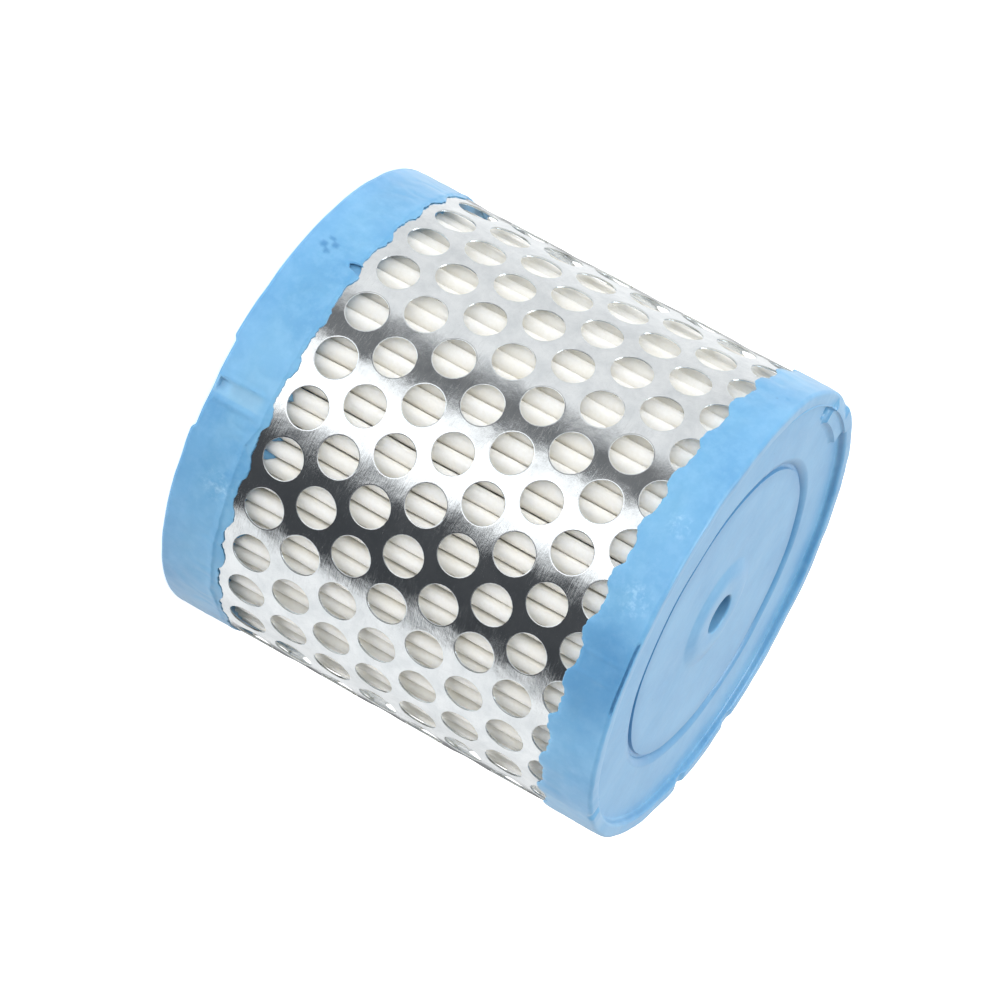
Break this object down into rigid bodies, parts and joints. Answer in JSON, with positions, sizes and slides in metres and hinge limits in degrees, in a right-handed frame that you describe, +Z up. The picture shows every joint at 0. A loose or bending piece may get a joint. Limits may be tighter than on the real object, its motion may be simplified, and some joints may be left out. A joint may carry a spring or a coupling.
{
  "type": "air filter cartridge",
  "caption": "Round small-engine air filter cartridge: pleated paper between perforated tubes, moulded end caps, one end closed with a stud hole.",
  "frame": {"origin": "centre of the open end's sealing face, on the axis", "axes": "+Z runs up the axis from the open end to the closed end; +Y points to the seams of the sleeve, core and paper"},
  "size_m": [0.0768, 0.0768, 0.0783],
  "materials": {
    "urethane": "moulded matt skin",
    "tinplate": "bright, lightly brushed",
    "filter_paper": "uncoated, resin stiffened",
    "seam_steel": "plain zinc coated"
  },
  "bodies": {
    "root": {"closed_end_cap": "urethane", "open_end_cap": "urethane", "outer_sleeve": "tinplate", "inner_core": "tinplate", "pleated_media": "filter_paper", "pleat_seam_clip": "seam_steel", "stud_load_plate": "seam_steel"}
  },
  "joints": []
}
